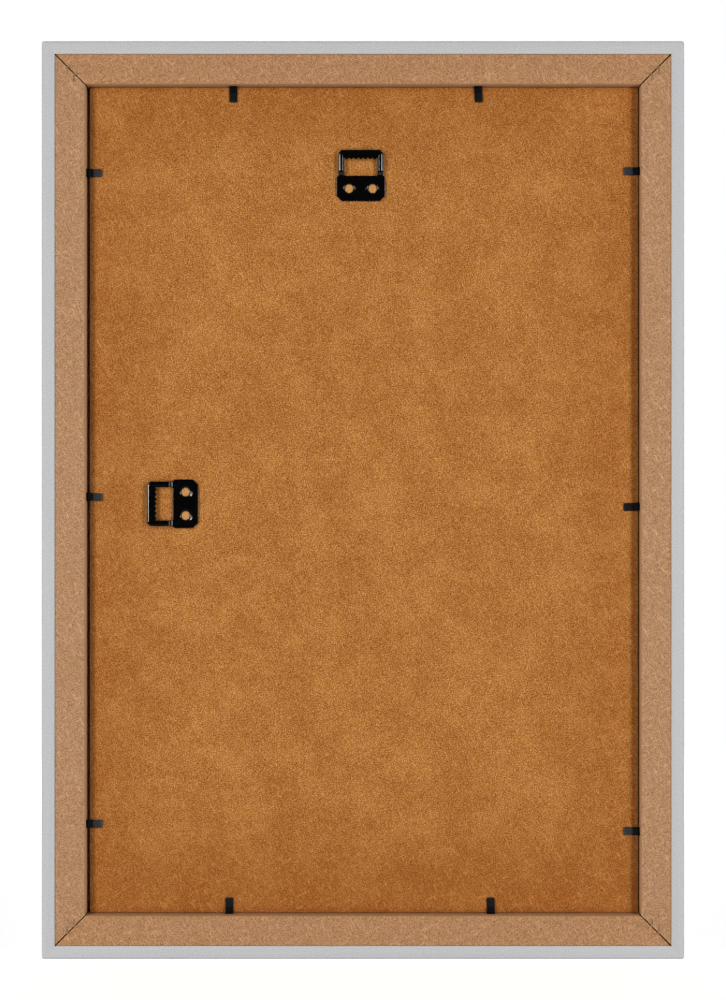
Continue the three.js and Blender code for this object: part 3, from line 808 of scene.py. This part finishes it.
def pale_floor():
    """White to the camera far away, and near the object white where the lamps reach.

    It throws less light back at the object than it shows.
    """
    material = bpy.data.materials.new("pale_floor")
    tree = Tree(material)
    nodes = tree.nodes
    nodes.remove(nodes["Principled BSDF"])
    away = tree.vector("LENGTH", tree.coordinates["Object"])
    seen = seen_share(tree, "Object")

    def faded(near, far):
        """A number that changes with the distance from the object."""
        return tree.rescale(away, *FLOOR_FADE, near, far, curve="LINEAR")

    shown = tree.calculate("MULTIPLY", seen, faded(1, 0))
    diffuse = nodes.new("ShaderNodeBsdfDiffuse")
    tree.plug(diffuse.inputs["Color"], tree.calculate("MAXIMUM", shown, faded(FLOOR_BOUNCE, 0)))
    glow = nodes.new("ShaderNodeEmission")
    tree.plug(glow.inputs["Strength"], tree.calculate("MULTIPLY", seen, faded(FLOOR_GLOW_NEAR, 1)))
    both = nodes.new("ShaderNodeAddShader")
    tree.plug(both.inputs[0], diffuse.outputs[0])
    tree.plug(both.inputs[1], glow.outputs[0])
    tree.plug(nodes["Material Output"].inputs["Surface"], both.outputs[0])
    return material


def add_softbox(name, away, size, power, lean=0):
    """A softbox that looks at the middle of the frame, from this way."""
    width, height = size
    lamp = bpy.data.lights.new(name, "AREA")
    lamp.shape = "RECTANGLE"
    lamp.size = width
    lamp.size_y = height
    lamp.energy = power
    holder = add_object(name, lamp)
    holder.location = CENTRE + away * BOX_DISTANCE
    holder.rotation_euler = (-away).to_track_quat("-Z", "Y").to_euler()
    holder.rotation_euler.rotate_axis("Z", lean)
    holder.visible_camera = False
    holder.visible_transmission = False
    return holder


def direction(turn, rise):
    """The way to a lamp that stands this far round from +Y towards +X, and this high."""
    return Vector((math.sin(turn) * math.cos(rise), math.cos(turn) * math.cos(rise), math.sin(rise)))


def receivers(name, pieces, state):
    """A list of the pieces that a lamp lights, or leaves out."""
    listed = bpy.data.collections.new(name)
    for piece in pieces:
        listed.objects.link(piece)
    for entry in listed.collection_objects:
        entry.light_linking.link_state = state
    return listed


def add_lights(hangers):
    """The softboxes beside the camera light all but the hangers, and the strips light only these.

    Their flat paint, seen from a corner, would mirror a softbox and look like bare steel.
    """
    away = direction(math.pi, FRONT_BOX_RISE)
    front = add_softbox("softbox_front", away, FRONT_BOX_SIZE, FRONT_BOX_POWER)
    front.visible_glossy = False
    without_hangers = receivers("without_hangers", hangers, "EXCLUDE")
    hangers_only = receivers("hangers_only", hangers, "INCLUDE")
    for side, hand in (("right", 1), ("left", -1)):
        softbox = add_softbox(f"softbox_{side}", direction(hand * BOX_ANGLE, 0), BOX_SIZE, BOX_POWER)
        softbox.light_linking.receiver_collection = without_hangers
        away = direction(hand * STRIP_ANGLE, STRIP_RISE)
        strip = add_softbox(f"strip_{side}", away, STRIP_SIZE, STRIP_POWER, lean=-hand * STRIP_LEAN)
        strip.light_linking.receiver_collection = hangers_only


def add_camera():
    camera = bpy.data.cameras.new("camera")
    camera.sensor_width = SENSOR
    camera.lens = SENSOR * CAMERA_DISTANCE / IMAGE_HEIGHT
    holder = add_object("camera", camera)
    holder.location = (CENTRE.x, CAMERA_DISTANCE, CENTRE.z)
    holder.rotation_euler = (-BACKWARD).to_track_quat("-Z", "Y").to_euler()
    bpy.context.scene.camera = holder


bpy.context.scene.view_settings.view_transform = "Standard"
hangers = dress_frame()
add_world()
add_floor()
add_lights(hangers)
add_camera()
